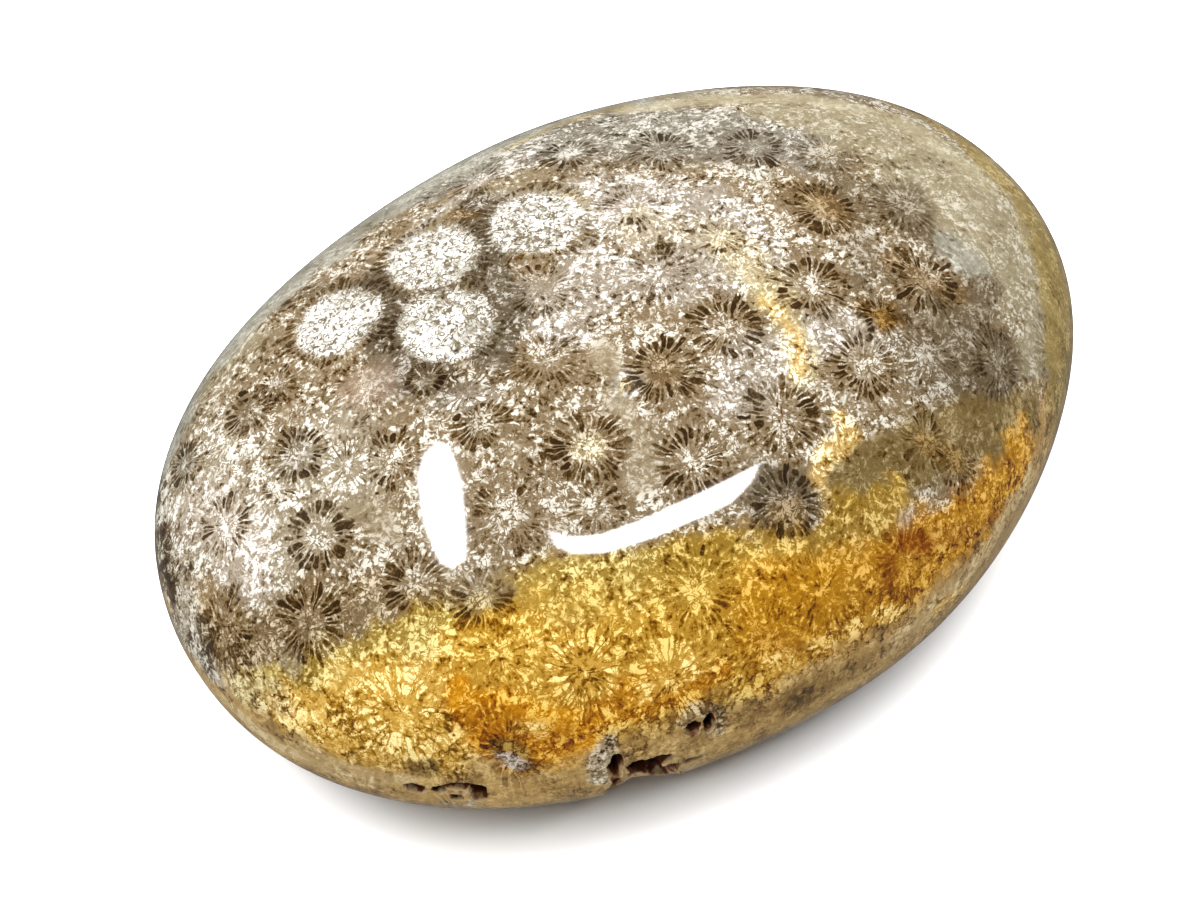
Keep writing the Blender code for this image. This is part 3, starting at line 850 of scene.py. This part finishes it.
# columns: where the steep side cuts the tubes lengthwise, thin walls net it into upright cells
slender = add(tree, "VectorMath", {0: shaken, 1: (1.25, 1.25, 0.75)}, operation="MULTIPLY")["Vector"]
walls = add(tree, "TexVoronoi", {"Vector": slender, "Scale": 1.0}, feature="DISTANCE_TO_EDGE")["Distance"]
walls = add(tree, "MapRange", {0: walls, 1: 0.13, 2: 0.03}, interpolation_type="SMOOTHSTEP")[0]
column = add(tree, "TexVoronoi", {"Vector": slender, "Scale": 1.0})["Color"]
column = add(tree, "SeparateColor", {0: column})[0]
column = add(tree, "Math", {0: column, 1: 0.5}, operation="SUBTRACT")[0]
column = add(tree, "Math", {0: column, 1: 0.60, 2: 0.06}, operation="MULTIPLY_ADD")[0]
column = add(tree, "Math", {0: walls, 1: -0.36, 2: column}, operation="MULTIPLY_ADD")[0]
side_share = add(tree, "MapRange", {0: height_mm, 1: 20.0, 2: 15.5}, interpolation_type="SMOOTHSTEP")[0]
rim_share = {0: height_mm, 1: 10.5, 2: 14.0, 3: 0.15, 4: 1.0}
rim_share = add(tree, "MapRange", rim_share, interpolation_type="SMOOTHSTEP")[0]
column = add(tree, "Math", {0: column, 1: side_share}, operation="MULTIPLY")[0]
column = add(tree, "Math", {0: column, 1: rim_share}, operation="MULTIPLY")[0]
column = add(tree, "Math", {0: column, 1: crowd}, operation="MULTIPLY")[0]
level = add(tree, "Math", {0: column, 1: coral, 2: level}, operation="MULTIPLY_ADD")[0]

# the level picks a colour between the stain's dark, middle and light
DEEP_TINT = (0.3, 0.25, 0.2, 1)  # what is left of the dark in the deepest gaps
dark, centre, light = (add(tree, "Attribute", attribute_name=name)["Color"] for name in LAYERS[:3])
dark = add(tree, "Mix", {0: disc, 6: dark, 7: linear("#534A3B")}, data_type="RGBA")[2]
centre = add(tree, "Mix", {0: disc, 6: centre, 7: linear("#817E75")}, data_type="RGBA")[2]
light = add(tree, "Mix", {0: disc, 6: light, 7: linear("#A9A7A3")}, data_type="RGBA")[2]
colour = add(tree, "Mix", {0: 1.0, 6: dark, 7: DEEP_TINT}, data_type="RGBA", blend_type="MULTIPLY")[2]
for low_level, high_level, next_colour in ((-0.25, 0.12, dark), (0.12, 0.50, centre), (0.50, 0.85, light)):
    step = add(tree, "MapRange", {0: level, 1: low_level, 2: high_level})[0]
    colour = add(tree, "Mix", {0: step, 6: colour, 7: next_colour}, data_type="RGBA")[2]

polish = add(tree, "BsdfPrincipled", {
    "Base Color": colour,
    "Roughness": 0.05,
    "IOR": QUARTZ_IOR,
})
add(tree, "OutputMaterial", {"Surface": polish["BSDF"]})

# The crust. Fine quartz lines the hollows: dull, pale at the mouth and rusty below. Deeper in, the colour
# is darkened to almost black, a painted shade for the little light that comes back from there.
CRUST_DEPTHS_MM = (0.15, 0.5, 1.2)  # where the pale quartz ends, the rust is full and the painted shade is full
CRUST_SHIFT_MM = 2.5  # how far the lumps' noise, which runs from 0 to 1, moves these depths
crusted_with_painted_shade.use_nodes = True
crust = crusted_with_painted_shade.node_tree
crust.nodes.clear()
crust_place = add(crust, "TexCoord")["Object"]
crust_place = add(crust, "VectorMath", {0: crust_place, "Scale": 1 / MM}, operation="SCALE")["Vector"]
lumps = add(crust, "TexNoise", {"Vector": crust_place, "Scale": 0.5 / CRUST_GRAIN_MM, "Detail": 2.0})["Fac"]
grains = add(crust, "TexVoronoi", {"Vector": crust_place, "Scale": 1.3 / CRUST_GRAIN_MM})["Distance"]
sunk_mm = add(crust, "Attribute", attribute_name="sunk")["Fac"]
sunk_mm = add(crust, "Math", {0: sunk_mm, 1: CRUST_SHIFT_MM / 2}, operation="SUBTRACT")[0]
sunk_mm = add(crust, "Math", {0: lumps, 1: CRUST_SHIFT_MM, 2: sunk_mm}, operation="MULTIPLY_ADD")[0]
mouth, rust_depth, painted_shade_depth = CRUST_DEPTHS_MM
below = add(crust, "MapRange", {0: sunk_mm, 1: mouth, 2: rust_depth})[0]
crust_and_shade_colour = {0: below, 6: linear("#9A8460"), 7: linear("#552B12")}
crust_and_shade_colour = add(crust, "Mix", crust_and_shade_colour, data_type="RGBA")[2]
# painted shade: deeper in the hollows the colour goes to almost black
below = add(crust, "MapRange", {0: sunk_mm, 1: rust_depth, 2: painted_shade_depth})[0]
crust_and_shade_colour = add(crust, "Mix", {0: below, 6: crust_and_shade_colour, 7: linear("#140702")}, data_type="RGBA")[2]
tips = add(crust, "MapRange", {0: grains, 1: 0.20, 2: 0.05, 3: 0.0, 4: 0.35})[0]
crust_and_shade_colour = add(crust, "Mix", {0: tips, 6: crust_and_shade_colour, 7: linear("#795D3C")}, data_type="RGBA")[2]
crust_shader = add(crust, "BsdfPrincipled", {
    "Base Color": crust_and_shade_colour,
    "Roughness": 0.5,
    "IOR": QUARTZ_IOR,
    "Specular IOR Level": 0.1,
})
add(crust, "OutputMaterial", {"Surface": crust_shader["BSDF"]})

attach(stone, "root")
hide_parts("coral_head")

# The floor. A sheet of white paper, so wide that its edges don't show.
FLOOR_SIZE = 2.0
floor_mesh = bpy.data.meshes.new("floor")
plane = bmesh.new()
bmesh.ops.create_grid(plane, x_segments=1, y_segments=1, size=FLOOR_SIZE)
plane.to_mesh(floor_mesh)
plane.free()
floor = bpy.data.objects.new("floor", floor_mesh)
bpy.context.scene.collection.objects.link(floor)
paper = bpy.data.materials.new("white paper")
paper.use_nodes = True
sheet = paper.node_tree.nodes["Principled BSDF"].inputs
sheet["Base Color"].default_value = linear("#F2F2F2")
sheet["Roughness"].default_value = 0.9
floor_mesh.materials.append(paper)
floor.visible_glossy = False  # its image would whiten the stone's lower sides; along the lower left rim a painted sheen stands in for part of it

# The room. White walls far off give a little light from all sides.
ROOM_GLOW = 0.15
world = bpy.data.worlds.new("studio")
world.use_nodes = True
room = world.node_tree.nodes["Background"].inputs
room["Color"].default_value = (1, 1, 1, 1)
room["Strength"].default_value = ROOM_GLOW
bpy.context.scene.world = world

# The softboxes. Two cloths a metre up show in the polish as a leaf and as a bent strip.
SOFTBOX_HEIGHT = 1.0
SOFTBOX_GLOW = 26
SOFTBOXES = (  # outlines in cm, counted from above the stone's middle
    ("back softbox", (
        (-5, 49), (-4, 45), (-9, 30), (-20, 9), (-27, -2),
        (-33, -3), (-34, 2), (-26, 23), (-16, 42), (-10, 48),
    )),
    ("front softbox", (
        (-5, -6), (-3, -14), (3, -20), (12, -22), (38, -22), (34, -30),
        (28, -36), (11, -35), (0, -31), (-6, -23), (-7, -15),
    )),
)
glow = bpy.data.materials.new("softbox cloth, lit")
glow.use_nodes = True
glow.node_tree.nodes.clear()
lit = add(glow.node_tree, "Emission", {"Color": (1, 1, 1, 1), "Strength": SOFTBOX_GLOW})
add(glow.node_tree, "OutputMaterial", {"Surface": lit[0]})
for name, outline in SOFTBOXES:
    cloth = bpy.data.meshes.new(name)
    corners = [(x / 100, y / 100, SOFTBOX_HEIGHT) for x, y in outline]
    cloth.from_pydata(corners, [], [range(len(corners))])
    cloth.materials.append(glow)
    softbox = bpy.data.objects.new(name, cloth)
    softbox.visible_diffuse = False  # they show in the polish, but don't light the stone
    bpy.context.scene.collection.objects.link(softbox)

# The ceiling lamp. It is three metres wide, which keeps the shadow soft, and the polish doesn't show it.
CEILING_PLACE = Vector((0.1, 0.5, 1.5))
CEILING_SIZE = 3.0
CEILING_GLOW = 8.0
ceiling = bpy.data.lights.new("ceiling", "AREA")
ceiling.shape = "SQUARE"
ceiling.size = CEILING_SIZE
ceiling.energy = CEILING_GLOW * math.pi * CEILING_SIZE ** 2
ceiling_holder = bpy.data.objects.new("ceiling", ceiling)
ceiling_holder.location = CEILING_PLACE
ceiling_holder.rotation_euler = CEILING_PLACE.to_track_quat("Z", "Y").to_euler()
ceiling_holder.visible_glossy = False
bpy.context.scene.collection.objects.link(ceiling_holder)
bpy.context.scene.view_settings.view_transform = "Standard"
